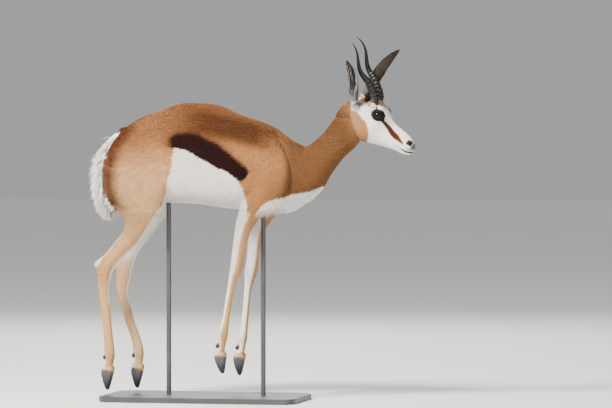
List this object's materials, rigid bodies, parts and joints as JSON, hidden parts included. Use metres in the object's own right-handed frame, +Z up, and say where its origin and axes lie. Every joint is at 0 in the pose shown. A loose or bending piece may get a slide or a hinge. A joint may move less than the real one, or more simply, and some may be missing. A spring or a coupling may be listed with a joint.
{
  "type": "springbok",
  "caption": "Life-size springbok caught in mid leap with all feet off the ground, held over a flat base by plain upright rods.",
  "frame": {"origin": "centre of the underside of the stand's base plate", "axes": "+X ahead, the way the animal faces; +Y to its left; +Z up, away from the floor"},
  "size_m": [1.0836, 0.34, 1.1965],
  "materials": {
    "coat": "short flat hair, fawn with a dark flank stripe and white face, belly and rump",
    "eye": "wet gloss, near black",
    "horn": "satin black horn with raised rings",
    "hoof": "satin slate-black horn",
    "stand": "satin dark grey paint"
  },
  "bodies": {
    "root": {"torso": "coat", "neck": "coat", "head": "coat", "rump": "coat", "tail": "coat", "ear_right": "coat", "ear_left": "coat", "leg_fore_right": "coat", "leg_fore_left": "coat", "leg_hind_right": "coat", "leg_hind_left": "coat", "eye_right": "eye", "eye_left": "eye", "horn_right": "horn", "horn_left": "horn", "hoof_fore_right_inner": "hoof", "hoof_fore_right_outer": "hoof", "hoof_fore_left_inner": "hoof", "hoof_fore_left_outer": "hoof", "hoof_hind_right_inner": "hoof", "hoof_hind_right_outer": "hoof", "hoof_hind_left_inner": "hoof", "hoof_hind_left_outer": "hoof", "dewclaw_fore_right_inner": "hoof", "dewclaw_fore_right_outer": "hoof", "dewclaw_fore_left_inner": "hoof", "dewclaw_fore_left_outer": "hoof", "dewclaw_hind_right_inner": "hoof", "dewclaw_hind_right_outer": "hoof", "dewclaw_hind_left_inner": "hoof", "dewclaw_hind_left_outer": "hoof", "stand_base": "stand", "stand_rod_front": "stand", "stand_rod_rear": "stand"}
  },
  "joints": []
}
